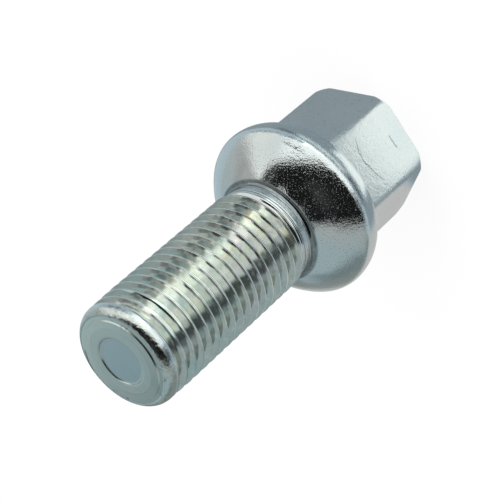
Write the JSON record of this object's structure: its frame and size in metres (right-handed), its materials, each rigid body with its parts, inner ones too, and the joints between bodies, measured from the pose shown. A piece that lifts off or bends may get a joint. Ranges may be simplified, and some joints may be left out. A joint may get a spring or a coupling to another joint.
{
  "type": "wheel bolt",
  "caption": "Zinc-plated steel wheel bolt: hex head, round collar with a ball seat, short plain neck and a threaded shank with a rounded tip.",
  "frame": {"origin": "centre of the hex head's flat end face, which is the lowest point and what the bolt stands on", "axes": "+Z runs along the shank from the head to the tip; +X is the outward direction of one flat of the hex"},
  "size_m": [0.0236, 0.0236, 0.0498],
  "materials": {
    "zinc_steel": "bright zinc plate with a clear blue passivate, grainy on the forged collar"
  },
  "bodies": {
    "root": {"wheel_bolt": "zinc_steel"}
  },
  "joints": []
}
